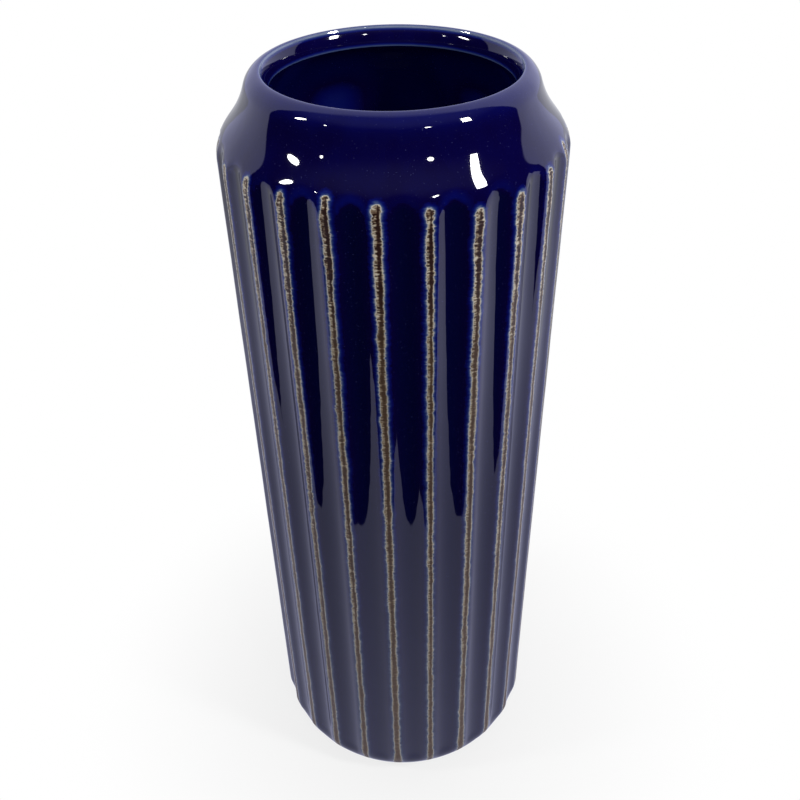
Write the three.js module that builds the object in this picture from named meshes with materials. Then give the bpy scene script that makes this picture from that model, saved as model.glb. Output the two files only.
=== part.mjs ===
import * as THREE from "three";

// A tall fluted stoneware flower vase, in millimetres, standing on z = 0 with its axis on +Z.
// The finished outline is the glazed surface. The clay lies one coat of glaze behind it,
// except on the bare ridges, on the foot and underneath, where the clay itself is the surface.

// Overall sizes
const vaseHeight = 400;
const ridgeRadius = 74;
const wallThickness = 7;
const floorThickness = 8;

// Lip and collar of the mouth
const lipDrop = 5.8;
const lipRadius = 60.2;
const lipWidth = 6.3;
const lipRoundness = 3;
const crestRoundness = 2.2;
const crestEdgeWidth = 1.1;
const crestEdgeDrop = 0.8;
const collarDrop = 7.7;
const collarTaper = 2.5;
const collarEdgeRound = 0.9;

// Neck and shoulder
const shoulderDrop = 33.9;
const neckFlareSlope = 0.32;
const neckHandleShare = 0.58;
const shoulderHandleShare = 0.42;
const innerShoulderLowering = 4.1;
const innerNeckHandle = 4;
const innerNeckSlope = 1.2;
const innerShoulderHandleShare = 0.4;

// Flutes and the bare ridges between them
const ridgeCount = 24;
const ridgeLandWidth = 3.2;
const fluteDepth = 2.4;
const fluteBendShare = 0.34;
const fluteEdgeRound = 1.2;
const fluteTwistDegrees = 1.7;
const ridgeTipShare = 0.8;

// Foot and underside
const footRoundRadius = 22;
const footRingWidth = 7;
const footRecessDepth = 3;
const footRecessTaper = 1.5;
const fluteEndDegrees = 30;
const glazeEndDegrees = 70;
const floorCornerRadius = 14;

// Coats of glaze
const outerGlazeThickness = 0.8;
const innerGlazeThickness = 0.8;

// Facets
const fluteColumnShares = [0.15, 0.3, 0.5, 0.7, 0.85];
const crestSegments = 1;
const lipSegments = 3;
const collarSegments = 1;
const collarEdgeSegments = 2;
const innerShoulderSegments = 5;
const floorCornerSegments = 4;
const wallSegments = 2;
const footSegments = 3;
const neckRowShares = [0.2, 0.4];
const shoulderRowShares = [0.5, 0.6, 0.68, 0.75, ridgeTipShare, 0.9, 1];

// Sizes that follow from those above
const crestRadius = lipRadius - lipWidth;
const crestEdgeRadius = crestRadius - crestEdgeWidth;
const collarRadius = crestEdgeRadius - collarTaper;
const innerRadius = ridgeRadius - fluteDepth - wallThickness;
const footRadius = ridgeRadius - footRoundRadius;
const floorTop = footRecessDepth + floorThickness;
const shoulderZ = vaseHeight - shoulderDrop;
const neckSpan = shoulderDrop - lipDrop;

// Points of an outline hold the distance from the axis in x and the height in y.
const at = (radius, height) => new THREE.Vector2(radius, height);

// The mouth: the crest, the lip rolling outward from it, and the collar inside it
const crest = at(crestRadius, vaseHeight);
const crestEdge = at(crestEdgeRadius, vaseHeight - crestEdgeDrop);
const lipSide = at(lipRadius, vaseHeight - lipDrop);
const collarEnd = at(collarRadius, vaseHeight - collarDrop);
const collarStart = at(collarRadius + collarEdgeRound, vaseHeight - collarDrop - collarEdgeRound);

const crestCurve = new THREE.QuadraticBezierCurve(crestEdge, at(crestEdgeRadius, vaseHeight), crest);
const lipCurve = new THREE.CubicBezierCurve(
  crest,
  at(crestRadius + crestRoundness, vaseHeight),
  at(lipRadius - lipRoundness * neckFlareSlope, lipSide.y + lipRoundness),
  lipSide,
);
const collarCurve = new THREE.LineCurve(collarEnd, crestEdge);
const collarEdgeCurve = new THREE.QuadraticBezierCurve(
  collarStart,
  at(collarRadius, vaseHeight - collarDrop - collarEdgeRound),
  collarEnd,
);

// The outside: neck flaring into the shoulder, straight wall, rounded foot
const neckHandle = neckSpan * neckHandleShare;
const shoulderCurve = new THREE.CubicBezierCurve(
  lipSide,
  at(lipRadius + neckHandle * neckFlareSlope, lipSide.y - neckHandle),
  at(ridgeRadius, shoulderZ + neckSpan * shoulderHandleShare),
  at(ridgeRadius, shoulderZ),
);
const wallCurve = new THREE.LineCurve(at(ridgeRadius, shoulderZ), at(ridgeRadius, footRoundRadius));
const footCurve = new THREE.EllipseCurve(
  footRadius,
  footRoundRadius,
  footRoundRadius,
  footRoundRadius,
  0,
  -THREE.MathUtils.degToRad(glazeEndDegrees),
  true,
);

// The inside: floor, rounded corner, straight wall, shoulder closing in to the collar
const innerShoulderZ = shoulderZ - innerShoulderLowering;
const innerShoulderHandle = (collarEnd.y - innerShoulderZ) * innerShoulderHandleShare;
const floorCornerCurve = new THREE.EllipseCurve(
  innerRadius - floorCornerRadius,
  floorTop + floorCornerRadius,
  floorCornerRadius,
  floorCornerRadius,
  -Math.PI / 2,
  0,
  false,
);
const innerShoulderCurve = new THREE.CubicBezierCurve(
  at(innerRadius, innerShoulderZ),
  at(innerRadius, innerShoulderZ + innerShoulderHandle),
  at(collarStart.x + innerNeckHandle, collarStart.y - innerNeckHandle * innerNeckSlope),
  collarStart,
);

// A station is a point of an outline with the unit normal that points off the clay there.
function stationOn(curve, share) {
  const point = curve.getPoint(share);
  const tangent = curve.getTangent(share);
  return { point, normal: at(-tangent.y, tangent.x) };
}

function stationsOn(curve, shares) {
  return shares.map((share) => stationOn(curve, share));
}

// Equal steps along a curve, from its second point to its last
function evenShares(segments) {
  return Array.from({ length: segments }, (_, index) => (index + 1) / segments);
}

// Columns round the axis are counted in ridges: column 3 is the crest of the fourth ridge.
const ridgePitch = (2 * Math.PI * ridgeRadius) / ridgeCount;
const landHalfShare = ridgeLandWidth / 2 / ridgePitch;
const fluteWidthShare = 1 - 2 * landHalfShare;
const plainColumns = [];
const flutedColumns = [];
for (let ridge = 0; ridge < ridgeCount; ridge += 1) {
  plainColumns.push(ridge, ridge + 1 / 2);
  flutedColumns.push(ridge - landHalfShare, ridge + landHalfShare);
  for (const share of fluteColumnShares) {
    flutedColumns.push(ridge + landHalfShare + share * fluteWidthShare);
  }
}
const columnsPerRidge = fluteColumnShares.length + 2;

// The cross-section of a flute: nothing on the ridge land, then a bend out of the land,
// and a shallow scoop over the middle
function scoopAt(column) {
  const fromLand = column - Math.round(column);
  const across = Math.min(1, (1 / 2 - Math.abs(fromLand)) / (fluteWidthShare / 2));
  const scoopShare = 1 - fluteBendShare;
  if (across < scoopShare) {
    return fluteDepth * (1 - (across * across) / scoopShare);
  }
  return (fluteDepth * (1 - across) * (1 - across)) / fluteBendShare;
}

// The smaller of two radii, with the edge where they cross rounded over
function smoothMin(first, second, round) {
  const blend = Math.max(round - Math.abs(first - second), 0) / round;
  return Math.min(first, second) - (blend * blend * round) / 4;
}

// What is left of the flutes at a point: all of them on the wall, less and less round the foot
function fluteFade(point) {
  if (point.y >= footRoundRadius) {
    return 1;
  }
  const turned = Math.atan2(footRoundRadius - point.y, point.x - footRadius);
  return 1 - THREE.MathUtils.smoothstep(THREE.MathUtils.radToDeg(turned), 0, fluteEndDegrees);
}

// The finished outside at a station and column, as a point of the outline moved inward.
// Down the wall a flute is a straight channel, so on the shoulder it ends in an arch.
function flutedPoint(station, column) {
  const { point, normal } = station;
  const scoop = scoopAt(column);
  if (point.y >= shoulderZ) {
    const channel = ridgeRadius - scoop;
    const round = fluteEdgeRound * (scoop / fluteDepth);
    const radius = round > 0 ? smoothMin(point.x, channel, round) : Math.min(point.x, channel);
    return at(radius, point.y);
  }
  return point.clone().addScaledVector(normal, -scoop * fluteFade(point));
}

// A point of an outline turned to its column, with the slight lean of the flutes
const ridgeTipZ = shoulderCurve.getPoint(ridgeTipShare).y;
const twist = THREE.MathUtils.degToRad(fluteTwistDegrees);
function placed(flat, column) {
  const lean = twist * THREE.MathUtils.clamp((ridgeTipZ - flat.y) / ridgeTipZ, 0, 1);
  const angle = (column / ridgeCount) * 2 * Math.PI - Math.PI / 2 + lean;
  return new THREE.Vector3(flat.x * Math.cos(angle), flat.x * Math.sin(angle), flat.y);
}

// One closed body, gathered as rows of vertices that run round the axis
class Body {
  constructor() {
    this.positions = [];
    this.triangles = [];
  }

  vertex(position) {
    this.positions.push(position.x, position.y, position.z);
    return this.positions.length / 3 - 1;
  }

  // A row all the way round: its first vertex is used again at the end.
  ring(columns, pointAt) {
    const vertices = columns.map((column) => this.vertex(placed(pointAt(column), column)));
    return {
      columns: [...columns, columns[0] + ridgeCount],
      vertices: [...vertices, vertices[0]],
    };
  }

  axisPoint(height) {
    return { columns: [0], vertices: [this.vertex(new THREE.Vector3(0, 0, height))] };
  }

  face(first, second, third, flipped) {
    this.triangles.push(...(flipped ? [first, third, second] : [first, second, third]));
  }

  // Closes the strip between two rows by walking along both in step.
  // Its face looks outward where the rows go down the outside of a wall.
  join(upper, lower, flipped = false) {
    let i = 0;
    let j = 0;
    const lastUpper = upper.vertices.length - 1;
    const lastLower = lower.vertices.length - 1;
    while (i < lastUpper || j < lastLower) {
      const upperIsNext = i < lastUpper && upper.columns[i + 1] <= lower.columns[j + 1];
      const here = [upper.vertices[i], lower.vertices[j]];
      if (j === lastLower || upperIsNext) {
        i += 1;
        this.face(...here, upper.vertices[i], flipped);
      } else {
        j += 1;
        this.face(...here, lower.vertices[j], flipped);
      }
    }
  }

  joinAll(rows, flipped = false) {
    for (let index = 1; index < rows.length; index += 1) {
      this.join(rows[index - 1], rows[index], flipped);
    }
  }

  geometry() {
    const geometry = new THREE.BufferGeometry();
    geometry.setAttribute("position", new THREE.Float32BufferAttribute(this.positions, 3));
    geometry.setIndex(this.triangles);
    geometry.computeVertexNormals();
    return geometry;
  }
}

// Rows down the outside, from the edge of the crest to where the outer glaze ends
const plainOuterRows = [
  stationOn(crestCurve, 0),
  ...stationsOn(crestCurve, evenShares(crestSegments)),
  ...stationsOn(lipCurve, evenShares(lipSegments)),
  ...stationsOn(shoulderCurve, neckRowShares),
];
const flutedOuterRows = [
  ...stationsOn(shoulderCurve, shoulderRowShares),
  ...stationsOn(wallCurve, evenShares(wallSegments)),
  ...stationsOn(footCurve, evenShares(footSegments)),
];
const tipRow = shoulderRowShares.indexOf(ridgeTipShare);
const glazeEndRow = flutedOuterRows.length - 1;

// Rows up the inside, from the floor to the edge of the crest
const innerRows = [
  stationOn(floorCornerCurve, 0),
  ...stationsOn(floorCornerCurve, evenShares(floorCornerSegments)),
  stationOn(innerShoulderCurve, 0),
  ...stationsOn(innerShoulderCurve, evenShares(innerShoulderSegments)),
  ...stationsOn(collarEdgeCurve, evenShares(collarEdgeSegments)),
  ...stationsOn(collarCurve, evenShares(collarSegments)),
];
const lastInnerRow = innerRows.length - 1;

const isOnLand = (position) => position % columnsPerRidge < 2;

// Thickness of the outer glaze: nothing along its edges, one full coat elsewhere
function plainGlaze(row) {
  return row === 0 ? 0 : outerGlazeThickness;
}

function flutedGlaze(row, position) {
  const edge = row === glazeEndRow || (row >= tipRow && isOnLand(position));
  return edge ? 0 : outerGlazeThickness;
}

function behind(flat, normal, thickness) {
  return flat.clone().addScaledVector(normal, -thickness);
}

// Rings on the clay under the outer glaze, and on its bare ridges
function clayOuterRings(body) {
  const plain = plainOuterRows.map((station, row) =>
    body.ring(plainColumns, () => behind(station.point, station.normal, plainGlaze(row))));
  const fluted = flutedOuterRows.map((station, row) =>
    body.ring(flutedColumns, (column) => {
      const thickness = flutedGlaze(row, flutedColumns.indexOf(column));
      return behind(flutedPoint(station, column), station.normal, thickness);
    }));
  return [...plain, ...fluted];
}

function clayInnerRings(body) {
  return innerRows.slice(0, lastInnerRow).map((station) =>
    body.ring(plainColumns, () => behind(station.point, station.normal, innerGlazeThickness)));
}

// The stoneware: inside, over the crest, down the fluted outside, and the bare foot
function stonewareBody() {
  const body = new Body();
  const footRingInner = footRadius - footRingWidth;
  const inside = clayInnerRings(body);
  const outside = clayOuterRings(body);
  const underside = [
    at(footRadius, 0),
    at(footRingInner, 0),
    at(footRingInner - footRecessTaper, footRecessDepth),
  ].map((flat) => body.ring(plainColumns, () => flat));
  body.joinAll([
    body.axisPoint(floorTop - innerGlazeThickness),
    ...inside,
    ...outside,
    ...underside,
    body.axisPoint(footRecessDepth),
  ]);
  return body.geometry();
}

// The outer glaze: one coat from the crest over the shoulder, with a finger down each flute.
// Along an edge the two faces of the coat meet in the same vertices.
function outerGlaze() {
  const body = new Body();
  const face = [];
  const back = [];
  plainOuterRows.forEach((station, row) => {
    const front = body.ring(plainColumns, () => station.point);
    const thickness = plainGlaze(row);
    face.push(front);
    back.push(thickness > 0
      ? body.ring(plainColumns, () => behind(station.point, station.normal, thickness))
      : front);
  });
  flutedOuterRows.forEach((station, row) => {
    const front = body.ring(flutedColumns, (column) => flutedPoint(station, column));
    const vertices = flutedColumns.map((column, position) => {
      const thickness = flutedGlaze(row, position);
      const flat = behind(flutedPoint(station, column), station.normal, thickness);
      return thickness > 0 ? body.vertex(placed(flat, column)) : front.vertices[position];
    });
    face.push(front);
    back.push({ columns: front.columns, vertices: [...vertices, vertices[0]] });
  });
  const tipRing = plainOuterRows.length + tipRow;
  body.joinAll(face.slice(0, tipRing + 1));
  body.joinAll(back.slice(0, tipRing + 1), true);
  for (let ridge = 0; ridge < ridgeCount; ridge += 1) {
    const first = ridge * columnsPerRidge + 1;
    const finger = (ring) => ({
      columns: ring.columns.slice(first, first + columnsPerRidge),
      vertices: ring.vertices.slice(first, first + columnsPerRidge),
    });
    body.joinAll(face.slice(tipRing).map(finger));
    body.joinAll(back.slice(tipRing).map(finger), true);
  }
  return body.geometry();
}

// The inner glaze: a coat over the floor, up the wall and over the collar to the crest
function innerGlaze() {
  const body = new Body();
  const face = innerRows.map((station) => body.ring(plainColumns, () => station.point));
  const back = [...clayInnerRings(body), face[lastInnerRow]];
  body.joinAll([body.axisPoint(floorTop), ...face]);
  body.joinAll([body.axisPoint(floorTop - innerGlazeThickness), ...back], true);
  return body.geometry();
}

const clayMaterial = new THREE.MeshStandardMaterial({
  color: 0x6e4f38,
  roughness: 0.85,
  metalness: 0,
});
const outerGlazeMaterial = new THREE.MeshStandardMaterial({
  color: 0x0b0b6b,
  roughness: 0.08,
  metalness: 0,
});
const innerGlazeMaterial = new THREE.MeshStandardMaterial({
  color: 0x070745,
  roughness: 0.1,
  metalness: 0,
});

function piece(name, geometry, material) {
  const mesh = new THREE.Mesh(geometry, material);
  mesh.name = name;
  return mesh;
}

const group = new THREE.Group();
group.name = "flower_vase";
group.add(
  piece("stoneware_body", stonewareBody(), clayMaterial),
  piece("outer_glaze", outerGlaze(), outerGlazeMaterial),
  piece("inner_glaze", innerGlaze(), innerGlazeMaterial),
);

export default group;
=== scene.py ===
import math

import bpy
import numpy as np
from mathutils import Matrix, Quaternion, Vector, noise


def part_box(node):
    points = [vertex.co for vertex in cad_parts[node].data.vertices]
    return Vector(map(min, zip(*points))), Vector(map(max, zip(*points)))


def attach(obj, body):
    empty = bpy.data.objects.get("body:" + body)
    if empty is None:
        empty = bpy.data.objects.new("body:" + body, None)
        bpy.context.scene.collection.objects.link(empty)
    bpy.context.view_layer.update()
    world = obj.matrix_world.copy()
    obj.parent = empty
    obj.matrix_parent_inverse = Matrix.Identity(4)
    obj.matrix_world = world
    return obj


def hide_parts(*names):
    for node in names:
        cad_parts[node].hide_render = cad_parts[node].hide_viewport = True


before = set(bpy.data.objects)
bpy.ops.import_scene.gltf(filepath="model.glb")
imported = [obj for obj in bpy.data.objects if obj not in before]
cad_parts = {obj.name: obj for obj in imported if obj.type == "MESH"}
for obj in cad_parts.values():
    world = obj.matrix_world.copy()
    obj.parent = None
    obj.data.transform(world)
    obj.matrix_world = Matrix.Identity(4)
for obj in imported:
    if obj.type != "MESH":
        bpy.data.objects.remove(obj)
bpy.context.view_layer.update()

# A tall fluted stoneware vase: dark clay that shows on the ridges between the flutes and
# under the foot, and a glossy cobalt glaze over the rest of the outside and the whole inside.
# Sizes are in millimetres up to the point where a mesh is made. A pair of numbers is the
# start and the end of a gradual change, for smoothstep or Tree.between.
MM = 0.001

body_low, body_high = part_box("stoneware_body")
vase_height = max(body_high.z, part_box("outer_glaze")[1].z) / MM
ridge_radius = (body_high.x - body_low.x) / 2 / MM

# Mouth
lip_drop = 5.8
lip_radius = 60.2
lip_width = 6.3
lip_roundness = 3.0
crest_roundness = 2.2
crest_edge_width = 1.1
crest_edge_drop = 0.8
collar_drop = 7.7
collar_taper = 2.5
collar_edge_round = 0.9
collar_edge_pull = 0.1
collar_bend_taper_share = 0.12
collar_bend_drop_share = 0.42

# Neck and shoulder
shoulder_drop = 33.9
neck_flare_slope = 0.32
neck_handle_share = 0.58
shoulder_handle_share = 0.42
inner_shoulder_lowering = 4.1
inner_neck_handle = 4.0
inner_neck_slope = 1.2
inner_shoulder_handle_share = 0.4

# Flutes and ridges. One flute came out a little shallower than the others.
ridge_count = 24
ridge_land_width = 3.2
flute_depth = 2.4
flute_bend_share = 0.34
flute_arch_round = 0.6
flute_twist = math.radians(1.7)
shallow_flute = 23
shallow_share = 0.84
ridge_tip_drop = 28.0
wall_thickness = 7.0

# Foot and underside
floor_thickness = 8.0
foot_round_radius = 22.0
foot_ring_width = 7.0
foot_recess_depth = 3.0
foot_recess_taper = 1.5
flute_end = math.radians(30)
glaze_end = math.radians(70)
floor_corner_radius = 14.0

# The slight unevenness of the surface: how deep, and how long its waves are round and up
surface_wave = 0.05
wave_width, wave_length = 17, 30
fine_wave_width, fine_wave_length = 6, 9
fine_wave_share = 0.4
wave_sink = 1.4

# Bare strips: half their width near the tip, along the wall and round the foot
bare_tip_half = 1.7
bare_wall_half = 1.42
bare_foot_half = 2.2
bare_least_half = 0.6
bare_tip_length = 22.0
bare_tip_share = 0.6
bare_wall_share = 2.4
bare_foot_height = foot_round_radius * 2
bare_width_spread = 0.16
bare_width_seed = (5.7, 0.3)

# Where the strips start: a height that changes slowly from ridge to ridge, and each its own
tip_slow_spread = 4.0
tip_slow_turn = 1.6
tip_slow_seed = 19.1
tip_own_spread = 2.0
tip_own_seed = (12.0, 7.7)

# How far the edges of a strip wander, and the length of their waves
bare_wander = 0.3
bare_tip_wander = 0.5
tip_wander_end = 4.0
wander_length = 11
fine_wander_length = 4.2
fine_wander_share = 0.7

# The dark core of a strip: its share of the half width, and how far off centre it lies.
# Its steady shift to one side is partly the strip's own colour and partly painted shade, darker on
# the side away from the left lamps.
core_tip_share = 0.45
core_wall_share = 0.48
core_foot_share = 0.72
core_start_share = 0.3
core_start = (1, 7)
core_upper = (10, 60)
core_lower = (30, 190)
core_colour_and_shade_shift = 0.26
core_slow_shift, core_slow_length = 0.22, 65
core_fine_shift, core_fine_length = 0.16, 14

# Glaze: its coat runs from 0, where it breaks to cream, to 1, where it pools.
glaze_thickness = 0.8
thinnest_share = 0.05
rim_coat = 0.1
lip_coat = 0.65
shoulder_coat = 0.74
inner_wall_coat = 0.97
rim_line = (0.35, 1.6)
lip_band = (3.0, 12.0)
arch_thinning = 0.14
arch_variation = 0.8
arch_band = (-1.6, 0.9)
arch_side = (0.0, 0.9)
arch_upper_part = (0, 5)
pool_edge = (0.25, 1.5)
pool_upper_delay = (0.5, 0.45)

# Inside, the coat is thinner in a line at the collar's edge. In two places below the neck it is
# also made thinner, and so lighter blue, as painted pools of lamp light on the inner wall, given by
# the degrees round the axis, half their width and how much thinner it is there.
inner_rim_width = 1.1
collar_line_place = 0.4
collar_line_half = 0.7
collar_line_thinning = 0.72
inner_coat_full = 8
painted_light_places = ((210, 15, 0.44), (148, 12, 0.34))
painted_light_upper = (18, 34)
painted_light_lower = (60, 90)

# Rows of the outline, from the crest out and down to the foot, and inside from the floor up
crest_rows_count = 5
lip_steps = 12
neck_steps = 14
shoulder_steps = 32
arch_steps = 8
arch_step = 0.7
wall_start_drop = 7.5
wall_rows_count = 145
foot_steps = 14
under_foot_steps = 4
floor_steps = 4
corner_steps = 8
inner_wall_steps = 25
inner_shoulder_steps = 18
collar_edge_steps = 5
collar_steps = 9

# Sizes that follow
crest_radius = lip_radius - lip_width
crest_edge_radius = crest_radius - crest_edge_width
collar_radius = crest_edge_radius - collar_taper
inner_radius = ridge_radius - flute_depth - wall_thickness
foot_radius = ridge_radius - foot_round_radius
floor_top = foot_recess_depth + floor_thickness
shoulder_z = vase_height - shoulder_drop
lip_z = vase_height - lip_drop
neck_span = shoulder_drop - lip_drop
pitch = 2 * math.pi * ridge_radius / ridge_count
ridge_tip_z = vase_height - ridge_tip_drop

# Columns: distances from a strip's edge into the flute, as shares of the way to its middle,
# and places across a strip in half widths. A smooth row inside or below has plain columns.
flute_steps = np.array([0, 0.5, 1.2, 2.3, 4.0, 6.2]) / (pitch / 2)
strip_steps = np.array([-1, -0.66, -0.3, 0.0, 0.3, 0.66, 1])
strip_usual_half = 1.6
BACK_COLUMNS = [2, 4, 6, 8, 10]
plain_steps = 6
plain_count = ridge_count * plain_steps
plain_columns = np.arange(plain_count) / plain_steps

# Edge distance and core place of a point far from any strip, and edge distance on the foot
EDGE_FAR = 9.0
CORE_FAR = 3.0
BARE_DEEP = -6.0

# Two columns no further apart than this count as one.
SAME_COLUMN = 1e-6


def smoothstep(value, low, high):
    share = np.clip((value - low) / (high - low), 0, 1)
    return share * share * (3 - 2 * share)


def wobble(x, y, z):
    """Smooth noise of about -1 to 1, the same each run. The factors of ridge and side and
    the plain numbers that it is called with only keep one use of it apart from another."""
    return noise.noise(Vector((x, y, z))) * 1.6


# Outlines: arrays of radius, height and the unit normal that points off the clay
def with_normals(points, tangents):
    tangents = tangents / np.linalg.norm(tangents, axis=1)[:, None]
    return np.column_stack([points, -tangents[:, 1], tangents[:, 0]])


def bezier(points, shares):
    points = np.array(points, float)
    shares = np.asarray(shares, float)[:, None]

    def blend(corners):
        top = len(corners) - 1
        return sum(
            math.comb(top, i) * shares**i * (1 - shares) ** (top - i) * corners[i]
            for i in range(top + 1)
        )

    return with_normals(blend(points), blend(points[1:] - points[:-1]))


def arc(centre, radius, angles):
    around = np.column_stack([np.cos(angles), np.sin(angles)])
    return np.column_stack([np.array(centre) + radius * around, around])


def upright(radius, heights, facing):
    """A straight wall that faces outward for 1 and inward for -1."""
    count = len(heights)
    return np.column_stack(
        [np.full(count, radius), heights, np.full(count, facing), np.zeros(count)]
    )


def steps(count):
    """Equal shares of a curve, from its second point to its last."""
    return np.arange(1, count + 1) / count


def path_lengths(rows):
    """The distance along an outline from its first row to each row."""
    between = np.linalg.norm(np.diff(rows[:, :2], axis=0), axis=1)
    return np.concatenate([[0], np.cumsum(between)])


# Outside, from the edge of the crest over the lip and down to where the glaze ends
crest = (crest_radius, vase_height)
crest_edge = (crest_edge_radius, vase_height - crest_edge_drop)
lip_side = (lip_radius, lip_z)
neck_handle = neck_span * neck_handle_share

crest_rows = bezier(
    [crest_edge, (crest_edge_radius, vase_height), crest],
    np.linspace(0, 1, crest_rows_count),
)
lip_rows = bezier(
    [
        crest,
        (crest_radius + crest_roundness, vase_height),
        (lip_radius - lip_roundness * neck_flare_slope, lip_z + lip_roundness),
        lip_side,
    ],
    steps(lip_steps),
)
shoulder_rows = bezier(
    [
        lip_side,
        (lip_radius + neck_handle * neck_flare_slope, lip_z - neck_handle),
        (ridge_radius, shoulder_z + neck_span * shoulder_handle_share),
        (ridge_radius, shoulder_z),
    ],
    np.concatenate([steps(neck_steps), 1 + steps(shoulder_steps)]) / 2,
)
wall_heights = np.concatenate(
    [
        shoulder_z - arch_step * np.arange(1, arch_steps + 1),
        np.linspace(shoulder_z - wall_start_drop, foot_round_radius, wall_rows_count),
    ]
)
foot_centre = (foot_radius, foot_round_radius)
outside = np.concatenate(
    [
        crest_rows,
        lip_rows,
        shoulder_rows,
        upright(ridge_radius, wall_heights, 1),
        arc(foot_centre, foot_round_radius, -steps(foot_steps) * glaze_end),
    ]
)
row_count = len(outside)


# The flutes
def scoop(across):
    """Depth of the surface behind the outline, at a distance from the middle of a ridge: a
    bend out of the ridge, then a shallow scoop over the middle of the flute."""
    half_width = (pitch - ridge_land_width) / 2
    share = np.minimum((pitch / 2 - np.abs(across)) / half_width, 1)
    channel = flute_depth * (1 - share**2 / (1 - flute_bend_share))
    bend = flute_depth * (1 - share) ** 2 / flute_bend_share
    return np.where(share < 1 - flute_bend_share, channel, bend)


def flute_fade(radius, height):
    """The flutes run out round the foot."""
    turned = np.arctan2(foot_round_radius - height, radius - foot_radius)
    return np.where(height < foot_round_radius, 1 - smoothstep(turned, 0, flute_end), 1.0)


def fluted(row, across, ridge):
    """The finished surface at a row of the outline: radius and height. Above the wall the
    outline and the flute meet in a rounded arch."""
    radius, height, normal_r, normal_h = row
    depth = scoop(across) * (shallow_share if ridge == shallow_flute else 1)
    if height >= shoulder_z:
        channel = ridge_radius - depth
        rounding = np.maximum(flute_arch_round * depth, 1e-6)
        blend = np.clip(1 - np.abs(radius - channel) / rounding, 0, 1)
        return (
            np.minimum(radius, channel) - blend * blend * rounding / 4,
            np.full(len(depth), height),
        )
    moved = depth * flute_fade(radius, height)
    return radius - moved * normal_r, height - moved * normal_h


def placed(radius, height, across, ridge):
    """Points in space of a row's columns, with the slight lean of the flutes."""
    lean = flute_twist * np.clip((ridge_tip_z - height) / ridge_tip_z, 0, 1)
    angle = (ridge + across / pitch) / ridge_count * 2 * math.pi - math.pi / 2 + lean
    return np.column_stack([radius * np.cos(angle), radius * np.sin(angle), height])


def waved(points):
    """The slight unevenness of a poured and fired surface, outward from the axis."""
    flat = points[:, :2] / np.maximum(np.linalg.norm(points[:, :2], axis=1), 1)[:, None]
    lift = np.array(
        [
            wobble(x / wave_width, y / wave_width, z / wave_length)
            + fine_wave_share
            * wobble(x / fine_wave_width, y / fine_wave_width, z / fine_wave_length + 5)
            for x, y, z in points
        ]
    )
    moved = points.copy()
    moved[:, :2] += flat * (surface_wave * (lift - wave_sink))[:, None]
    return moved


def nearest(across):
    """A position in a flute, measured from the nearer ridge."""
    return (across + pitch / 2) % pitch - pitch / 2


def surface(row, across, ridge):
    radius, height = fluted(row, nearest(across), ridge)
    return waved(placed(radius, height, across, ridge))


def set_back(points, row, distance):
    """Points of a row moved in behind the surface."""
    turn = np.arctan2(points[:, 1], points[:, 0])
    normal = np.column_stack(
        [row[2] * np.cos(turn), row[2] * np.sin(turn), np.full(len(turn), row[3])]
    )
    return points - normal * distance


# The bare strips
def tip_offset(ridge):
    """The bare strips start at different heights, where the glaze happened to break."""
    turn = ridge / ridge_count * 2 * math.pi
    slow = wobble(tip_slow_turn * math.cos(turn), tip_slow_turn * math.sin(turn), tip_slow_seed)
    return tip_slow_spread * slow + tip_own_spread * wobble(3.1 * ridge, *tip_own_seed)


tip_heights = [ridge_tip_z + tip_offset(ridge) for ridge in range(ridge_count)]


def bare_half(ridge, side, height):
    """Width of the bare strip on one side of a ridge: nothing above its tip."""
    depth = tip_heights[ridge] - height
    if depth <= 0:
        return 0.0
    to_wall = smoothstep(
        depth, bare_tip_length * bare_tip_share, bare_tip_length * bare_wall_share
    )
    to_foot = smoothstep(bare_foot_height - height, 0, bare_foot_height)
    calmer = smoothstep(depth, tip_wander_end, bare_tip_length)
    width = bare_tip_half + (bare_wall_half - bare_tip_half) * to_wall
    width += (bare_foot_half - bare_wall_half) * to_foot
    width *= 1 + bare_width_spread * wobble(ridge * 4.7, *bare_width_seed)
    wander = bare_tip_wander + (bare_wander - bare_tip_wander) * calmer
    width += wander * wobble(height / wander_length, ridge * 5.3, side * 3.7)
    fine = wobble(height / fine_wander_length, ridge * 2.9, side * 8.1)
    width += wander * fine_wander_share * fine
    cap = min(depth / bare_tip_half, 1)
    return max(width, bare_least_half) * math.sqrt(1 - (1 - cap) ** 2)


def core_place(ridge, side, height):
    """Place across a bare strip in half widths of its dark core, which lies off centre."""
    depth = tip_heights[ridge] - height
    above_foot = smoothstep(height, *core_lower)
    share = core_tip_share + (core_wall_share - core_tip_share) * smoothstep(depth, *core_upper)
    share += (core_foot_share - core_wall_share) * (1 - above_foot)
    share *= core_start_share + (1 - core_start_share) * smoothstep(depth, *core_start)
    # A steady shift of the core to one side: partly the strip's own colour, partly painted shade.
    shift = core_colour_and_shade_shift * above_foot
    shift += core_slow_shift * wobble(height / core_slow_length, ridge * 7.1, 3.3)
    shift += core_fine_shift * wobble(height / core_fine_length, ridge * 1.7, 9.2)
    return (side - shift) / share


def edge_distance(ridge, across, height, half):
    """Distance from the edge of the bare strip: below 0 on the clay, above 0 on the glaze."""
    depth = tip_heights[ridge % ridge_count] - height
    if depth >= bare_tip_half:
        return np.abs(across) - half
    return np.hypot(across, bare_tip_half - depth) - bare_tip_half


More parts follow.
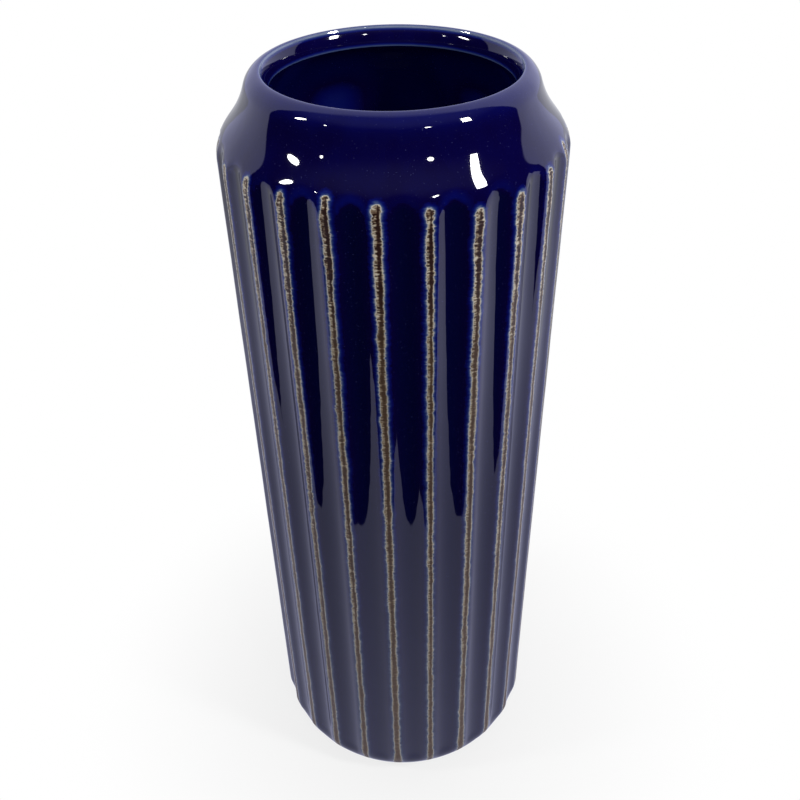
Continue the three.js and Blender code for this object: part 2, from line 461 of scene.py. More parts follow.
# The glaze
def coat(row, across, ridge):
    """How much glaze lies at a point, apart from the thinning along the bare strips."""
    radius, height = row[:2]
    if height < shoulder_z:
        return shoulder_coat + (1 - shoulder_coat) * smoothstep(scoop(across), *pool_edge)
    out = np.hypot(radius - crest_edge_radius, height - crest_edge[1])
    rim = rim_coat + (lip_coat - rim_coat) * smoothstep(out, *rim_line)
    rim += (shoulder_coat - lip_coat) * smoothstep(out, *lip_band)
    inward = radius - (ridge_radius - scoop(across))
    later = smoothstep(height - shoulder_z, *arch_upper_part)
    low = pool_edge[0] + pool_upper_delay[0] * later
    high = pool_edge[1] + pool_upper_delay[1] * later
    pooled = smoothstep(inward, low, high)
    arch = np.clip(smoothstep(inward, *arch_band) - pooled, 0, 1)
    arch = arch * smoothstep(scoop(across), *arch_side)
    thinning = arch_thinning * (1 + arch_variation * wobble(ridge * 2.3, 6.1, 4.4))
    return rim - thinning * arch + (1 - rim) * pooled


def inner_coat(row):
    """The inner coat's thickness round a ring, made thinner in two places below the neck as painted
    pools of light.
    """
    drop = vase_height - row[1]
    around = plain_columns / ridge_count * 2 * math.pi
    lower = smoothstep(drop, *painted_light_upper) * (1 - smoothstep(drop, *painted_light_lower))
    # Two painted pools of lamp light on the inner wall, drawn as a thinner, lighter coat.
    painted_light_pools = sum(
        share * np.exp(-(((around - math.radians(middle)) / math.radians(half)) ** 2))
        for middle, half, share in painted_light_places
    )
    line_drop = drop - collar_drop - collar_edge_round * collar_line_place
    line = math.exp(-((line_drop / collar_line_half) ** 2))
    off_rim = smoothstep(drop, crest_edge_drop, crest_edge_drop + inner_rim_width)
    rim = rim_coat + (shoulder_coat - rim_coat) * off_rim
    deep = smoothstep(drop, collar_drop, collar_drop + inner_coat_full)
    full = rim + (inner_wall_coat - rim) * deep
    return full * (1 - collar_line_thinning * line) - painted_light_pools * lower


# A mesh gathered from rows of vertices. A row is a list of (column, vertex) pairs.
class Sheets:
    def __init__(self):
        self.points = []
        self.edges = []
        self.coats = []
        self.cores = []
        self.faces = []
        self.front = []

    def add(self, points, edge, coats, core=CORE_FAR):
        first = len(self.points)
        self.points.extend(map(tuple, points))
        self.edges.extend(np.broadcast_to(edge, len(points)))
        self.coats.extend(np.broadcast_to(coats, len(points)))
        self.cores.extend(np.broadcast_to(core, len(points)))
        return list(range(first, len(self.points)))

    def face(self, corners, front):
        kept = [c for i, c in enumerate(corners) if c != corners[i - 1]]
        if len(kept) > 2:
            self.faces.append(kept)
            self.front.append(front)

    def join(self, upper, lower, front=True, flipped=False):
        """Closes the strip between two rows, walking along both in step."""
        i = j = 0
        while i < len(upper) - 1 or j < len(lower) - 1:
            last_i, last_j = i == len(upper) - 1, j == len(lower) - 1
            a, b = upper[i][1], lower[j][1]
            both = not (last_i or last_j) and abs(upper[i + 1][0] - lower[j + 1][0]) < SAME_COLUMN
            if both:
                corners = [a, b, lower[j + 1][1], upper[i + 1][1]]
                i, j = i + 1, j + 1
            elif last_j or (not last_i and upper[i + 1][0] < lower[j + 1][0]):
                corners = [a, b, upper[i + 1][1]]
                i += 1
            else:
                corners = [a, b, lower[j + 1][1]]
                j += 1
            self.face(corners[::-1] if flipped else corners, front)

    def join_all(self, rows, front=True, flipped=False):
        for upper, lower in zip(rows, rows[1:]):
            self.join(upper, lower, front, flipped)


def listed(ids, columns=None):
    """A row of vertices as (column, vertex) pairs."""
    return list(zip(range(len(ids)) if columns is None else columns, ids))


def strip_row(ids):
    """The row of a bare strip. Above the strip's tip it is one vertex on the ridge."""
    return listed(ids, None if len(ids) > 1 else [len(strip_steps) // 2])


def ring(ids):
    """A full turn of plain columns, counted in ridges."""
    return [*zip(plain_columns, ids), (ridge_count, ids[0])]


# The finished outside is worked out once: the glaze and the clay both take their points from it.
def outside_row(row):
    """Per ridge: the columns of the bare strip and of the flute after it, both measured
    from the middle of that ridge, with their edge distances."""
    height = row[1]
    halves = [
        (bare_half(ridge, -1, height), bare_half(ridge, 1, height))
        for ridge in range(ridge_count)
    ]
    parts = []
    for ridge, (left, right) in enumerate(halves):
        after = halves[(ridge + 1) % ridge_count][0]
        strip = np.where(strip_steps < 0, strip_steps * left, strip_steps * right)
        strip_half = np.where(strip < 0, left, right)
        rising = right + flute_steps * (pitch / 2 - right)
        falling = (after + flute_steps * (pitch / 2 - after))[::-1]
        flute_edge = [
            edge_distance(ridge, rising, height, right),
            [pitch / 2],
            edge_distance(ridge + 1, falling, height, after),
        ]
        parts.append(
            {
                "bare": left > 0,
                "strip": strip,
                "strip_edge": edge_distance(ridge, strip, height, strip_half),
                "core": core_place(ridge, strip_steps, height),
                "flute": np.concatenate([rising, [pitch / 2], pitch - falling]),
                "flute_edge": np.concatenate(flute_edge),
            }
        )
    return parts


finished = Sheets()


def add_flute(row, ridge, parts, flutes):
    """Vertices across a flute. Where the ridge beside it is covered, it shares the one on
    that ridge with the flute next to it."""
    part, after = parts[ridge], parts[(ridge + 1) % ridge_count]
    across, edges = part["flute"], part["flute_edge"]
    points = surface(row, across, ridge)
    coats = coat(row, nearest(across), ridge)
    if ridge > 0 and not part["bare"]:
        start = flutes[-1][-1:]
    else:
        start = finished.add(points[:1], edges[:1], coats[:1], part["core"][-1])
    middle = finished.add(points[1:-1], edges[1:-1], coats[1:-1])
    if ridge == ridge_count - 1 and not after["bare"]:
        end = flutes[0][:1]
    else:
        end = finished.add(points[-1:], edges[-1:], coats[-1:], after["core"][0])
    return start + middle + end


def add_strip(row, ridge, part, left, right):
    """Vertices across a bare strip, between those of the flutes beside it."""
    if not part["bare"]:
        return [right]
    inner = part["strip"][1:-1]
    points, coats = surface(row, inner, ridge), coat(row, inner, ridge)
    return [left, *finished.add(points, part["strip_edge"][1:-1], coats, part["core"][1:-1]), right]


sections = [outside_row(row) for row in outside]
flute_ids, strip_ids = [], []
for row, parts in zip(outside, sections):
    flutes = []
    for ridge in range(ridge_count):
        flutes.append(add_flute(row, ridge, parts, flutes))
    strips = [
        add_strip(row, ridge, parts[ridge], flutes[ridge - 1][-1], flutes[ridge][0])
        for ridge in range(ridge_count)
    ]
    flute_ids.append(flutes)
    strip_ids.append(strips)

for row in range(1, row_count):
    for ridge in range(ridge_count):
        finished.join(listed(flute_ids[row - 1][ridge]), listed(flute_ids[row][ridge]))
        if len(strip_ids[row][ridge]) > 1:
            finished.join(strip_row(strip_ids[row - 1][ridge]), strip_row(strip_ids[row][ridge]))


def whole_row(flutes, strips):
    """A full turn of the outside, with columns counted in ridges."""
    half = strip_usual_half / pitch
    row = []
    for ridge in range(ridge_count):
        strip, flute = strips[ridge], flutes[ridge]
        if len(strip) > 1:
            row += [(ridge + s * half, v) for s, v in zip(strip_steps[1:-1], strip[1:-1])]
            row.append((ridge + half, flute[0]))
        else:
            row.append((ridge, flute[0]))
        spread = np.linspace(half, 1 - half, len(flute))
        row += zip(ridge + spread[1:-1], flute[1:-1])
        if len(strips[(ridge + 1) % ridge_count]) > 1:
            row.append((ridge + 1 - half, flute[-1]))
    return row + [(row[0][0] + ridge_count, row[0][1])]


crest_ring = whole_row(flute_ids[0], strip_ids[0])
glaze_end_ring = whole_row(flute_ids[-1], strip_ids[-1])


# Inside, from the floor up to the edge of the crest, and underneath, from the glaze's end in
def plain_points(row):
    radius, height = np.full(plain_count, row[0]), np.full(plain_count, row[1])
    return placed(radius, height, plain_columns * pitch, 0)


collar_end = (collar_radius, vase_height - collar_drop)
collar_start = (collar_radius + collar_edge_round, collar_end[1] - collar_edge_round)
collar_bend = (
    collar_radius + collar_bend_taper_share * collar_taper,
    vase_height - collar_bend_drop_share * collar_drop,
)
inner_shoulder_z = shoulder_z - inner_shoulder_lowering
inner_handle = (collar_end[1] - inner_shoulder_z) * inner_shoulder_handle_share
floor_edge = inner_radius - floor_corner_radius
corner_top = floor_top + floor_corner_radius
floor_rows = np.array(
    [[floor_edge * share, floor_top, 0, 1] for share in steps(floor_steps)]
)
corner_rows = arc(
    (floor_edge, corner_top),
    floor_corner_radius,
    -math.pi / 2 + steps(corner_steps) * math.pi / 2,
)
corner_rows[:, 2:] *= -1
inner_wall_heights = np.linspace(corner_top, inner_shoulder_z, inner_wall_steps + 1)[1:]
inner_shoulder_rows = bezier(
    [
        (inner_radius, inner_shoulder_z),
        (inner_radius, inner_shoulder_z + inner_handle),
        (
            collar_start[0] + inner_neck_handle,
            collar_start[1] - inner_neck_handle * inner_neck_slope,
        ),
        collar_start,
    ],
    steps(inner_shoulder_steps),
)
collar_edge_rows = bezier(
    [collar_start, (collar_radius - collar_edge_pull, collar_start[1]), collar_end],
    steps(collar_edge_steps),
)
collar_rows = bezier([collar_end, collar_bend, crest_edge], steps(collar_steps)[:-1])
inside = np.concatenate(
    [
        floor_rows,
        corner_rows,
        upright(inner_radius, inner_wall_heights, -1),
        inner_shoulder_rows,
        collar_edge_rows,
        collar_rows,
    ]
)

floor_centre = listed(finished.add([(0, 0, floor_top)], EDGE_FAR, 1.0))
inner_rings = [
    floor_centre,
    *[ring(finished.add(waved(plain_points(row)), EDGE_FAR, inner_coat(row))) for row in inside],
    crest_ring,
]
finished.join_all(inner_rings)

# The inner edge of the foot ring and the corner of the recess are each slightly rounded.
foot_inner = foot_radius - foot_ring_width
recess_edge = foot_inner - foot_recess_taper
bare_foot = np.concatenate(
    [
        arc(
            foot_centre,
            foot_round_radius,
            -glaze_end - steps(under_foot_steps) * (math.pi / 2 - glaze_end),
        ),
        [
            [foot_inner + 0.8, 0, 0, -1],
            [foot_inner + 0.25, 0.12, -0.5, -0.8],
            [foot_inner, 0.6, -1, 0],
            [recess_edge + 0.3, foot_recess_depth - 0.6, -1, 0],
            [recess_edge - 0.4, foot_recess_depth - 0.1, -0.5, -0.8],
            [recess_edge - 1.4, foot_recess_depth, 0, -1],
            [foot_inner * 0.6, foot_recess_depth, 0, -1],
            [foot_inner * 0.3, foot_recess_depth, 0, -1],
        ],
    ]
)
under_rings = [
    glaze_end_ring,
    *[ring(finished.add(plain_points(row), BARE_DEEP, 0.0)) for row in bare_foot],
    listed(finished.add([(0, 0, foot_recess_depth)], BARE_DEEP, 0.0)),
]
finished.join_all(under_rings)


def vertex_normals(sheets):
    points = np.array(sheets.points)
    normals = np.zeros_like(points)
    for corners in sheets.faces:
        corner = points[corners]
        if len(corners) == 4:
            area = np.cross(corner[2] - corner[0], corner[3] - corner[1])
        else:
            area = np.cross(corner[1] - corner[0], corner[2] - corner[0])
        normals[corners] += area
    return normals / np.maximum(np.linalg.norm(normals, axis=1), 1e-12)[:, None]


finished_normals = vertex_normals(finished)


# Each piece takes its share of the finished surface and closes it with a hidden back.
class Piece(Sheets):
    def __init__(self):
        super().__init__()
        self.taken = {}

    def take(self, finished_id):
        if finished_id not in self.taken:
            (own,) = self.add(
                [finished.points[finished_id]],
                finished.edges[finished_id],
                finished.coats[finished_id],
                finished.cores[finished_id],
            )
            self.taken[finished_id] = own
        return self.taken[finished_id]

    def take_row(self, row):
        return [(column, self.take(vertex)) for column, vertex in row]

    def made_object(self, name, material):
        mesh = bpy.data.meshes.new(name)
        mesh.from_pydata((np.array(self.points) * MM).tolist(), [], self.faces)
        for key, values in (
            ("bare_edge", self.edges),
            ("coat", self.coats),
            ("core", self.cores),
        ):
            attribute = mesh.attributes.new(key, "FLOAT", "POINT")
            attribute.data.foreach_set("value", np.array(values, np.float32))
        mesh.shade_smooth()
        source = {own: shared for shared, own in self.taken.items()}
        normals = []
        for corners, front in zip(self.faces, self.front):
            for corner in corners:
                shared = source.get(corner) if front else None
                normals.append((0, 0, 0) if shared is None else tuple(finished_normals[shared]))
        mesh.normals_split_custom_set(normals)
        mesh.materials.append(material)
        made = bpy.data.objects.new(name, mesh)
        bpy.context.scene.collection.objects.link(made)
        return made


# The coat thins to nothing over these lengths: at the crest, at the foot and below a tip.
crest_fade = (0, 1.6)
foot_fade = (0, 3.0)
tip_fade = (0, 2.4)
along = path_lengths(outside)
row_fade = np.minimum(smoothstep(along, *crest_fade), smoothstep(along[-1] - along, *foot_fade))
gap_to_crest = np.linalg.norm(inside[-1, :2] - np.array(crest_edge))
inside_fade = smoothstep(path_lengths(inside[::-1])[::-1] + gap_to_crest, *crest_fade)


def tip_row_of(ridge):
    """The last row in which the glaze still covers a ridge."""
    return max(row for row in range(row_count) if len(strip_ids[row][ridge]) == 1)


def back_points():
    """Points behind the outer glaze, none for the first and last row: per row, one on each
    covered ridge and those of each flute."""
    tip_rows = [tip_row_of(ridge) for ridge in range(ridge_count)]
    rows = [None]
    for index in range(1, row_count - 1):
        row, full = outside[index], glaze_thickness * row_fade[index]
        centres, flutes = [], []
        for ridge in range(ridge_count):
            across = sections[index][ridge]["flute"][BACK_COLUMNS]
            flutes.append(set_back(surface(row, across, ridge), row, full))
            cover = max(smoothstep(row[1] - tip_heights[ridge], *tip_fade), thinnest_share)
            covered = index < tip_rows[ridge]
            on_ridge = surface(row, np.zeros(1), ridge)
            centres.append(set_back(on_ridge, row, full * cover) if covered else None)
        rows.append((centres, flutes))
    return rows + [None]


behind_glaze = back_points()


def back_rows(piece):
    """The sheet between clay and glaze outside, per row and flute. Along an edge of the
    glaze it meets the finished surface in the same vertices."""
    rows = []
    for flutes, behind in zip(flute_ids, behind_glaze):
        if behind is None:
            rows.append([piece.take_row(listed(flute)) for flute in flutes])
            continue
        centres = [
            None if point is None else piece.add(point, EDGE_FAR, 1.0)[0] for point in behind[0]
        ]
        backs = []
        for ridge, flute in enumerate(flutes):
            middle = piece.add(behind[1][ridge], EDGE_FAR, 1.0)
            start, end = centres[ridge], centres[(ridge + 1) % ridge_count]
            start = piece.take(flute[0]) if start is None else start
            end = piece.take(flute[-1]) if end is None else end
            backs.append([(0, start), *zip(BACK_COLUMNS, middle), (len(flute) - 1, end)])
        rows.append(backs)
    return rows


def lining(piece):
    """The sheet between clay and glaze inside, from the middle of the floor to the crest."""
    rings = []
    for row, fade in zip(inside, inside_fade):
        thickness = glaze_thickness * max(fade, thinnest_share)
        points = set_back(waved(plain_points(row)), row, thickness)
        rings.append(ring(piece.add(points, EDGE_FAR, 1.0)))
    centre = listed(piece.add([(0, 0, floor_top - glaze_thickness)], EDGE_FAR, 1.0))
    return [centre, *rings, piece.take_row(crest_ring)]


def build_outer_glaze():
    piece = Piece()
    backs = back_rows(piece)
    for row in range(1, row_count):
        for ridge in range(ridge_count):
            upper = piece.take_row(listed(flute_ids[row - 1][ridge]))
            lower = piece.take_row(listed(flute_ids[row][ridge]))
            piece.join(upper, lower)
            piece.join(backs[row - 1][ridge], backs[row][ridge], front=False, flipped=True)
    return piece


def build_inner_glaze():
    piece = Piece()
    piece.join_all([piece.take_row(row) for row in inner_rings])
    piece.join_all(lining(piece), front=False, flipped=True)
    return piece


def build_stoneware():
    piece = Piece()
    piece.join_all(lining(piece), front=False)
    backs = back_rows(piece)
    for row in range(1, row_count):
        for ridge in range(ridge_count):
            piece.join(backs[row - 1][ridge], backs[row][ridge], front=False)
            if len(strip_ids[row][ridge]) > 1:
                upper = piece.take_row(strip_row(strip_ids[row - 1][ridge]))
                lower = piece.take_row(strip_row(strip_ids[row][ridge]))
                piece.join(upper, lower)
    piece.join_all([piece.take_row(row) for row in under_rings])
    return piece


# Materials
class Tree:
    """The nodes of a material or of the world, added one at a time with their inputs by
    name or number."""

    def __init__(self, owner):
        owner.use_nodes = True
        self.owner = owner
        self.nodes = owner.node_tree.nodes

    def add(self, kind, inputs=(), **settings):
        node = self.nodes.new(kind)
        for key, value in settings.items():
            setattr(node, key, value)
        for key, value in dict(inputs).items():
            self.set(node.inputs[key], value)
        return node

    def set(self, socket, value):
        if isinstance(value, bpy.types.NodeSocket):
            self.owner.node_tree.links.new(value, socket)
        else:
            socket.default_value = value

    def math(self, operation, first, second=0.0, third=None, clamp=False):
        inputs = {0: first, 1: second}
        if third is not None:
            inputs[2] = third
        return self.add("ShaderNodeMath", inputs, operation=operation, use_clamp=clamp).outputs[0]

    def between(self, value, low, high):
        """0 at low, 1 at high, smooth in between."""
        node = self.add(
            "ShaderNodeMapRange",
            {"Value": value, "From Min": low, "From Max": high},
            interpolation_type="SMOOTHSTEP",
        )
        return node.outputs["Result"]

    def attribute(self, name):
        return self.add("ShaderNodeAttribute", attribute_name=name).outputs["Fac"]

    def coordinates(self, kind):
        return self.add("ShaderNodeTexCoord").outputs[kind]

    def split(self, vector):
        return self.add("ShaderNodeSeparateXYZ", {0: vector}).outputs

    def noise(self, scale, detail=2.0, roughness=0.5, distortion=0.0):
        """Noise of about -1 to 1 with the given repeats per millimetre along each axis."""
        scaled = self.add(
            "ShaderNodeMapping",
            {"Vector": self.coordinates("Object"), "Scale": [s / MM for s in scale]},
        )
        node = self.add(
            "ShaderNodeTexNoise",
            {
                "Vector": scaled.outputs["Vector"],
                "Scale": 1.0,
                "Detail": detail,
                "Roughness": roughness,
                "Distortion": distortion,
            },
        )
        return self.math("MULTIPLY_ADD", node.outputs["Fac"], 4.0, -2.0)

    def ramp(self, value, stops):
        node = self.add("ShaderNodeValToRGB", {"Fac": value})
        elements = node.color_ramp.elements
        while len(elements) < len(stops):
            elements.new(0.5)
        for element, (place, colour) in zip(elements, stops):
            element.position = place
            element.color = opaque(colour)
        return node.outputs["Color"]

    def mix(self, share, first, second):
        node = self.add("ShaderNodeMix", {0: share, 6: first, 7: second}, data_type="RGBA")
        return node.outputs[2]


def opaque(colour):
    return (*colour, 1)


def grey(value):
    return (value, value, value)


# Colours of the bare strips, from the dark core out to the pale crust, high and low on the wall
cream = (0.58, 0.53, 0.43)
dull_cream = (0.28, 0.245, 0.175)
upper_crust = [
    (0.30, (0.018, 0.0036, 0.0016)),
    (0.44, (0.054, 0.022, 0.011)),
    (0.56, (0.17, 0.105, 0.062)),
    (0.70, (0.31, 0.245, 0.165)),
    (0.98, cream),
]
lower_crust = [
    (0.20, (0.068, 0.036, 0.012)),
    (0.45, (0.120, 0.078, 0.036)),
    (0.80, (0.21, 0.17, 0.115)),
    (1.00, dull_cream),
]

# Colours of the glaze from where it breaks to where it pools, high and low on the wall
glaze_stops = (0.0, 0.10, 0.22, 0.34, 0.46, 0.60, 0.76, 1.0)
cream_rim = (0.42, 0.43, 0.42)
upper_blues = [
    (0.17, 0.20, 0.31),
    (0.055, 0.080, 0.185),
    (0.016, 0.031, 0.145),
    (0.0050, 0.0095, 0.118),
    (0.0018, 0.0031, 0.088),
    (0.0020, 0.0005, 0.029),
]
lower_blues = [
    (0.155, 0.170, 0.210),
    (0.068, 0.082, 0.118),
    (0.030, 0.040, 0.080),
    (0.012, 0.017, 0.056),
    (0.0045, 0.0060, 0.042),
    (0.0025, 0.0015, 0.026),
]
deep_blue = (0.0008, 0.0012, 0.0245)
# The inside's deepest blue is painted lighter than the outside's: painted light that comes in
# through the mouth.
inner_painted_light_blue = (0.0007, 0.0018, 0.052)
speck_blue = (0.10, 0.11, 0.26)

# Heights in metres over which the strips turn paler and the glaze greyer
paler_wall, paler_wall_share = (0.345, 0.30), 0.6
paler_foot, paler_foot_share = (0.22, 0.05), 0.4
greyer_glaze = (0.36, 0.08)

# Strips: the edge breaks up by these millimetres, and crumbs and patches break up the crust.
comb_reach = 0.58
ragged_reach = 0.3
bare_blend = (0.12, -0.12)
core_to_crust = (0.2, 1.6)
crust_gain, crust_start = 1.25, -1.02
crumb_gain = 1.7
patch_gain = 0.25
margin_start, margin_end = -0.34, -0.08
margin_narrowing = 0.10
clay_roughness = 0.42

# Glaze: how soon it thickens away from a strip, per millimetre, and its mottling and specks
thickening, foot_slowing = -0.56, 0.14
mottle_gain = 0.02
speck_size = (1.15, 1.4)
speck_share = 0.25
glaze_ior = 1.5

# Relief: the strips are rough, and the glaze ripples slightly.
relief_gain = 0.4
ripple_gain = 0.10
bump_strength = 0.6
bump_height = 0.25


def strip_colour(tree, broken, crumbs, paler):
    """A dark core under crumbs of crust, and a pale margin where the glaze pulled back."""
    core = tree.math("ABSOLUTE", tree.attribute("core"))
    outward = tree.between(core, *core_to_crust)
    crust = tree.math("MULTIPLY_ADD", outward, crust_gain, crust_start)
    crust = tree.math("MULTIPLY_ADD", crumbs, crumb_gain, crust)
    patches = tree.noise((0.04, 0.04, 0.045), detail=1.0)
    crust = tree.math("MULTIPLY_ADD", patches, patch_gain, crust)
    crust = tree.math("MULTIPLY_ADD", crust, 0.5, 0.5, clamp=True)
    strip = tree.mix(paler, tree.ramp(crust, upper_crust), tree.ramp(crust, lower_crust))
    margin = tree.mix(paler, opaque(cream), opaque(dull_cream))
    start = tree.math("MULTIPLY_ADD", paler, margin_narrowing, margin_start)
    return tree.mix(tree.between(broken, start, margin_end), strip, margin)


def glaze_colour(tree, broken, height, foot, deepest):
    """Pale blue where the coat is thin, cobalt, and near black where it pools."""
    reach = tree.math("MULTIPLY_ADD", foot, foot_slowing, thickening)
    thin = tree.math("EXPONENT", tree.math("MULTIPLY", tree.math("MAXIMUM", broken, 0.0), reach))
    level = tree.math("SUBTRACT", 1.0, thin)
    level = tree.math("MINIMUM", level, tree.attribute("coat"))
    mottle = tree.noise((0.10, 0.10, 0.05), detail=3.0)
    level = tree.math("MULTIPLY_ADD", mottle, mottle_gain, level)
    upper, lower = [
        tree.ramp(level, list(zip(glaze_stops, [cream_rim, *blues, deepest])))
        for blues in (upper_blues, lower_blues)
    ]
    glaze = tree.mix(tree.between(height, *greyer_glaze), upper, lower)
    specks = tree.noise((1.9, 1.9, 1.9), detail=0.0)
    share = tree.math("MULTIPLY", tree.between(specks, *speck_size), speck_share)
    return tree.mix(share, glaze, opaque(speck_blue))


def vase_material(name, gloss, deepest):
    """The look of the whole finished surface, by the edge distance and glaze at each point."""
    tree = Tree(bpy.data.materials.new(name))
    shader = tree.nodes["Principled BSDF"]
    height = tree.split(tree.coordinates("Object"))["Z"]
    comb = tree.noise((0.35, 0.35, 1.1), detail=3.0, roughness=0.65, distortion=0.3)
    ragged = tree.noise((0.20, 0.20, 0.34), detail=3.0, roughness=0.6)
    crumbs = tree.noise((0.30, 0.30, 1.3), detail=2.0, roughness=0.7, distortion=0.5)
    broken = tree.math("MULTIPLY_ADD", comb, comb_reach, tree.attribute("bare_edge"))
    broken = tree.math("MULTIPLY_ADD", ragged, ragged_reach, broken)
    bare = tree.between(broken, *bare_blend)

    wall = tree.math("MULTIPLY", tree.between(height, *paler_wall), paler_wall_share)
    foot = tree.between(height, *paler_foot)
    paler = tree.math("MULTIPLY_ADD", foot, paler_foot_share, wall)
    strip = strip_colour(tree, broken, crumbs, paler)
    glaze = glaze_colour(tree, broken, height, foot, deepest)
    roughness = tree.math("MULTIPLY_ADD", bare, clay_roughness - gloss, gloss)
    tree.set(shader.inputs["Base Color"], tree.mix(bare, glaze, strip))
    tree.set(shader.inputs["Roughness"], roughness)
    shader.inputs["IOR"].default_value = glaze_ior

    relief = tree.math("MULTIPLY", tree.math("ADD", comb, crumbs), bare)
    ripple = tree.noise((0.09, 0.09, 0.05), detail=1.0)
    lift = tree.math("MULTIPLY", relief, relief_gain)
    lift = tree.math("MULTIPLY_ADD", ripple, ripple_gain, lift)
    bump = tree.add(
        "ShaderNodeBump",
        {"Height": lift, "Strength": bump_strength, "Distance": bump_height * MM},
    )
    tree.set(shader.inputs["Normal"], bump.outputs["Normal"])
    return tree.owner


def finish_piece(piece, name, node, material):
    made = piece.made_object(name, material)
    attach(made, "root")
    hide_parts(node)


finish_piece(
    build_stoneware(),
    "vase_stoneware",
    "stoneware_body",
    vase_material("bare_stoneware", gloss=0.05, deepest=deep_blue),
)
finish_piece(
    build_outer_glaze(),
    "vase_outer_glaze",
    "outer_glaze",
    vase_material("cobalt_glaze_outside", gloss=0.035, deepest=deep_blue),
)
finish_piece(
    build_inner_glaze(),
    "vase_inner_glaze",
    "inner_glaze",
    vase_material("cobalt_glaze_inside", gloss=0.05, deepest=inner_painted_light_blue),
)

# Studio: its floor, lamps and camera stand turned about the vase's axis by this angle. Sizes
# are in metres from here on, and studio_white is what a glossy surface sees of its walls.
studio_turn = math.radians(5.12)
turned = Matrix.Rotation(studio_turn, 4, "Z")
studio_white = 0.75
studio_tint = (1.0, 1.02, 1.42)
right_gain = 0.22
right_side = (0.1, 0.5)

# Floor: a pale table top behind and under the vase, which keeps its shadow
floor_front = 0.277
floor_skew = 0.06
floor_reach = 2.6
floor_grey = 0.62
floor_roughness = 0.9
# Glossy rays see the floor dimmer near the vase and brighter farther out: a painted shadow of the
# vase on the table, seen in its reflections.
floor_glow_in_painted_shadow = 0.52
painted_shadow_fade = (0.25, 0.56)
floor_far = (0.1, 0.35)
far_tint = (0.84, 0.85, 0.92)
shadow_area = (0.07, 0.22)
shadow_glow = 0.78

# Walls: white to the back and sides, with an edge that is softer the higher it is
side_wall_slope = 0.2
wall_edge, wall_edge_gain, wall_edge_power = 0.01, 0.3, 8.0
ceiling_glow = 0.12
ceiling_height = (0.5, 0.85)
darkest = 0.004


def studio_axes(tree, place):
    """A place by the studio's own axes: X to the right, Y to the back and Z up."""
    turned_back = tree.add(
        "ShaderNodeVectorRotate",
        {"Vector": place, "Angle": -studio_turn},
        rotation_type="Z_AXIS",
    )
    return tree.split(turned_back.outputs["Vector"])


def brighter_right(tree, axes, level):
    gain = tree.math("MULTIPLY_ADD", tree.between(axes["X"], *right_side), right_gain, 1.0)
    return tree.math("MULTIPLY", level, gain)


def floor_material():
    tree = Tree(bpy.data.materials.new("pale_floor"))
    shader = tree.nodes["Principled BSDF"]
    shader.inputs["Base Color"].default_value = opaque(grey(floor_grey))
    shader.inputs["Roughness"].default_value = floor_roughness
    rays = tree.add("ShaderNodeLightPath").outputs
    mirrored = tree.math("MAXIMUM", rays["Is Glossy Ray"], rays["Is Transmission Ray"])
    place = tree.coordinates("Object")
    axes = studio_axes(tree, place)
    distance = tree.add("ShaderNodeVectorMath", {0: place}, operation="LENGTH").outputs["Value"]

    # Dimmer near the vase for glossy rays: the painted shadow of the vase on the table.
    outer = tree.between(distance, *painted_shadow_fade)
    level = tree.math("MULTIPLY_ADD", outer, studio_white - floor_glow_in_painted_shadow, floor_glow_in_painted_shadow)
    level = brighter_right(tree, axes, level)
    strength = tree.math("MAXIMUM", rays["Is Camera Ray"], level)
    tint = tree.mix(tree.between(axes["Y"], *floor_far), opaque(studio_tint), opaque(far_tint))
    tint = tree.mix(rays["Is Camera Ray"], tint, opaque(grey(1.0)))
    glow = tree.add("ShaderNodeEmission", {"Color": tint, "Strength": strength})

    away = tree.between(distance, *shadow_area)
    seen = tree.math("MULTIPLY_ADD", away, 1 - shadow_glow, shadow_glow)
    share = tree.math("MULTIPLY", rays["Is Camera Ray"], seen)
    share = tree.math("MAXIMUM", share, mirrored)
    blend = tree.add(
        "ShaderNodeMixShader",
        {0: share, 1: shader.outputs["BSDF"], 2: glow.outputs["Emission"]},
    )
    tree.set(tree.nodes["Material Output"].inputs["Surface"], blend.outputs["Shader"])
    return tree.owner


floor_corners = [
    turned @ Vector((side * floor_reach, forward, 0))
    for side, forward in (
        (-1, floor_skew - floor_front),
        (1, -floor_skew - floor_front),
        (1, 2 * floor_reach - floor_front),
        (-1, 2 * floor_reach - floor_front),
    )
]
floor_mesh = bpy.data.meshes.new("pale_floor")
floor_mesh.from_pydata(floor_corners, [], [(0, 1, 2, 3)])
floor_mesh.materials.append(floor_material())
floor = bpy.data.objects.new("pale_floor", floor_mesh)
bpy.context.scene.collection.objects.link(floor)


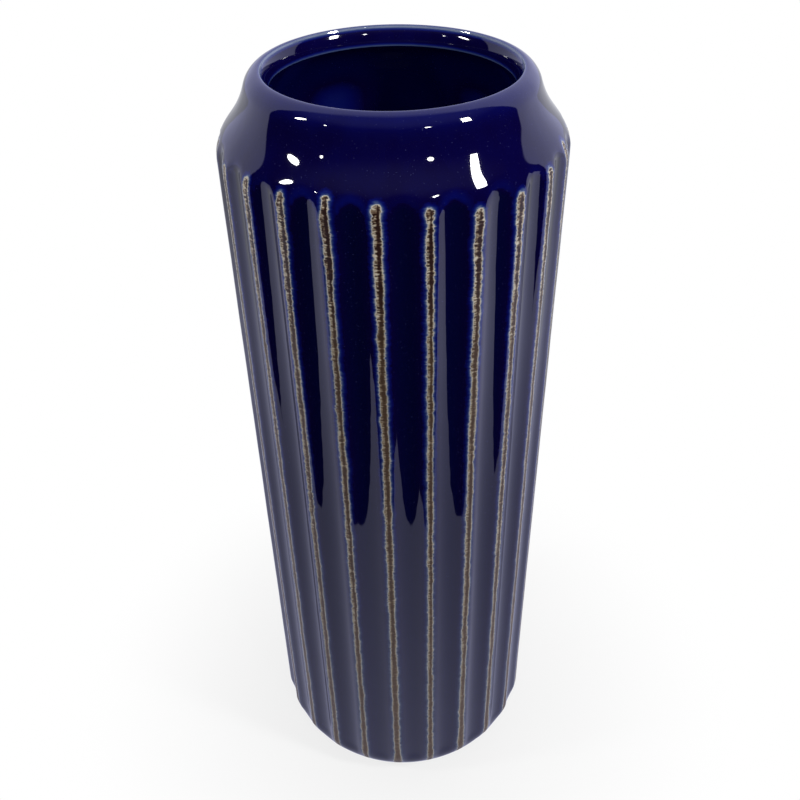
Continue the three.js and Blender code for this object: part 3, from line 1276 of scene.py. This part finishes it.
def studio_world():
    """White behind and beside the vase, dark in front below a dim ceiling."""
    tree = Tree(bpy.data.worlds.new("studio"))
    axes = studio_axes(tree, tree.coordinates("Generated"))
    sideways = tree.math("MULTIPLY", tree.math("ABSOLUTE", axes["X"]), side_wall_slope)
    depth = tree.math("SUBTRACT", axes["Y"], sideways)
    upward = tree.math("MAXIMUM", axes["Z"], 0.0)
    soft = tree.math("POWER", upward, wall_edge_power)
    soft = tree.math("MULTIPLY_ADD", soft, wall_edge_gain, wall_edge)
    white = tree.between(tree.math("DIVIDE", depth, soft), -1.0, 1.0)
    rays = tree.add("ShaderNodeLightPath").outputs
    level = tree.math("MULTIPLY_ADD", rays["Is Glossy Ray"], studio_white - 1, 1.0)
    level = brighter_right(tree, axes, level)
    ceiling = tree.math("MULTIPLY", tree.between(upward, *ceiling_height), ceiling_glow)
    ceiling = tree.math("ADD", ceiling, darkest)
    light = tree.math("MAXIMUM", tree.math("MULTIPLY", white, level), ceiling)
    light = tree.math("MAXIMUM", light, rays["Is Camera Ray"])
    tint = tree.mix(rays["Is Glossy Ray"], opaque(grey(1.0)), opaque(studio_tint))
    background = tree.nodes["Background"]
    tree.set(background.inputs["Color"], tint)
    tree.set(background.inputs["Strength"], light)
    return tree.owner


bpy.context.scene.world = studio_world()

# Lamps: azimuth from the camera's side towards the right and elevation in degrees, and size
lamp_target_share = 0.85
lamp_target = Vector((0, 0, vase_height * MM * lamp_target_share))
lamp_distance = 1.5
softbox_radiance = 90
spot_radiance = 60
fill_distance = 1.6
fill_radiance = 2.0


def toward(azimuth, elevation):
    a, e = math.radians(azimuth) + studio_turn, math.radians(elevation)
    return Vector((math.sin(a) * math.cos(e), -math.cos(a) * math.cos(e), math.sin(e)))


def lamp(
    name, azimuth, elevation, size, radiance, shape="RECTANGLE", roll=0.0, distance=lamp_distance
):
    data = bpy.data.lights.new(name, "AREA")
    data.shape = shape
    data.size, data.size_y = size
    area = size[0] * size[1] * (math.pi / 4 if shape == "ELLIPSE" else 1)
    data.energy = radiance * math.pi * area
    made = bpy.data.objects.new(name, data)
    made.location = lamp_target + toward(azimuth, elevation) * distance
    made.rotation_mode = "QUATERNION"
    facing = (made.location - lamp_target).to_track_quat("Z", "Y")
    made.rotation_quaternion = facing @ Quaternion((0, 0, 1), math.radians(roll))
    made.visible_camera = False
    bpy.context.scene.collection.objects.link(made)
    return made


lamp("left_softbox", -77, 31, (0.12, 0.27), softbox_radiance, "ELLIPSE", roll=-42)
lamp("right_softbox", 61.5, 37, (0.17, 0.32), softbox_radiance, roll=-15)
lamp("left_spot", -54, 31, (0.06, 0.06), spot_radiance, "ELLIPSE")
lamp("right_spot", 28, 35, (0.10, 0.09), spot_radiance, "ELLIPSE")
fill = lamp("front_fill", 0, 22, (1.4, 1.0), fill_radiance, distance=fill_distance)
fill.visible_glossy = False

# Camera: in front and above, looking down on the mouth
camera_distance = 0.3731
camera_height = 0.517
camera_pitch = math.radians(37.6)
camera_yaw = math.radians(0.12)
camera_roll = math.radians(-1.04)
camera_data = bpy.data.cameras.new("camera")
camera_data.sensor_width = 36
camera_data.lens = 41.27
camera = bpy.data.objects.new("camera", camera_data)
forward = Vector(
    (
        math.sin(camera_yaw) * math.cos(camera_pitch),
        math.cos(camera_yaw) * math.cos(camera_pitch),
        -math.sin(camera_pitch),
    )
)
right = Vector((math.cos(camera_yaw), -math.sin(camera_yaw), 0))
up = right.cross(forward)
rolled_right = right * math.cos(camera_roll) + up * math.sin(camera_roll)
rolled_up = up * math.cos(camera_roll) - right * math.sin(camera_roll)
axes = Matrix((rolled_right, rolled_up, -forward)).transposed().to_4x4()
standing = Matrix.Translation((0, -camera_distance, camera_height))
camera.matrix_world = turned @ standing @ axes
bpy.context.scene.collection.objects.link(camera)
bpy.context.scene.camera = camera
bpy.context.scene.view_settings.view_transform = "Standard"
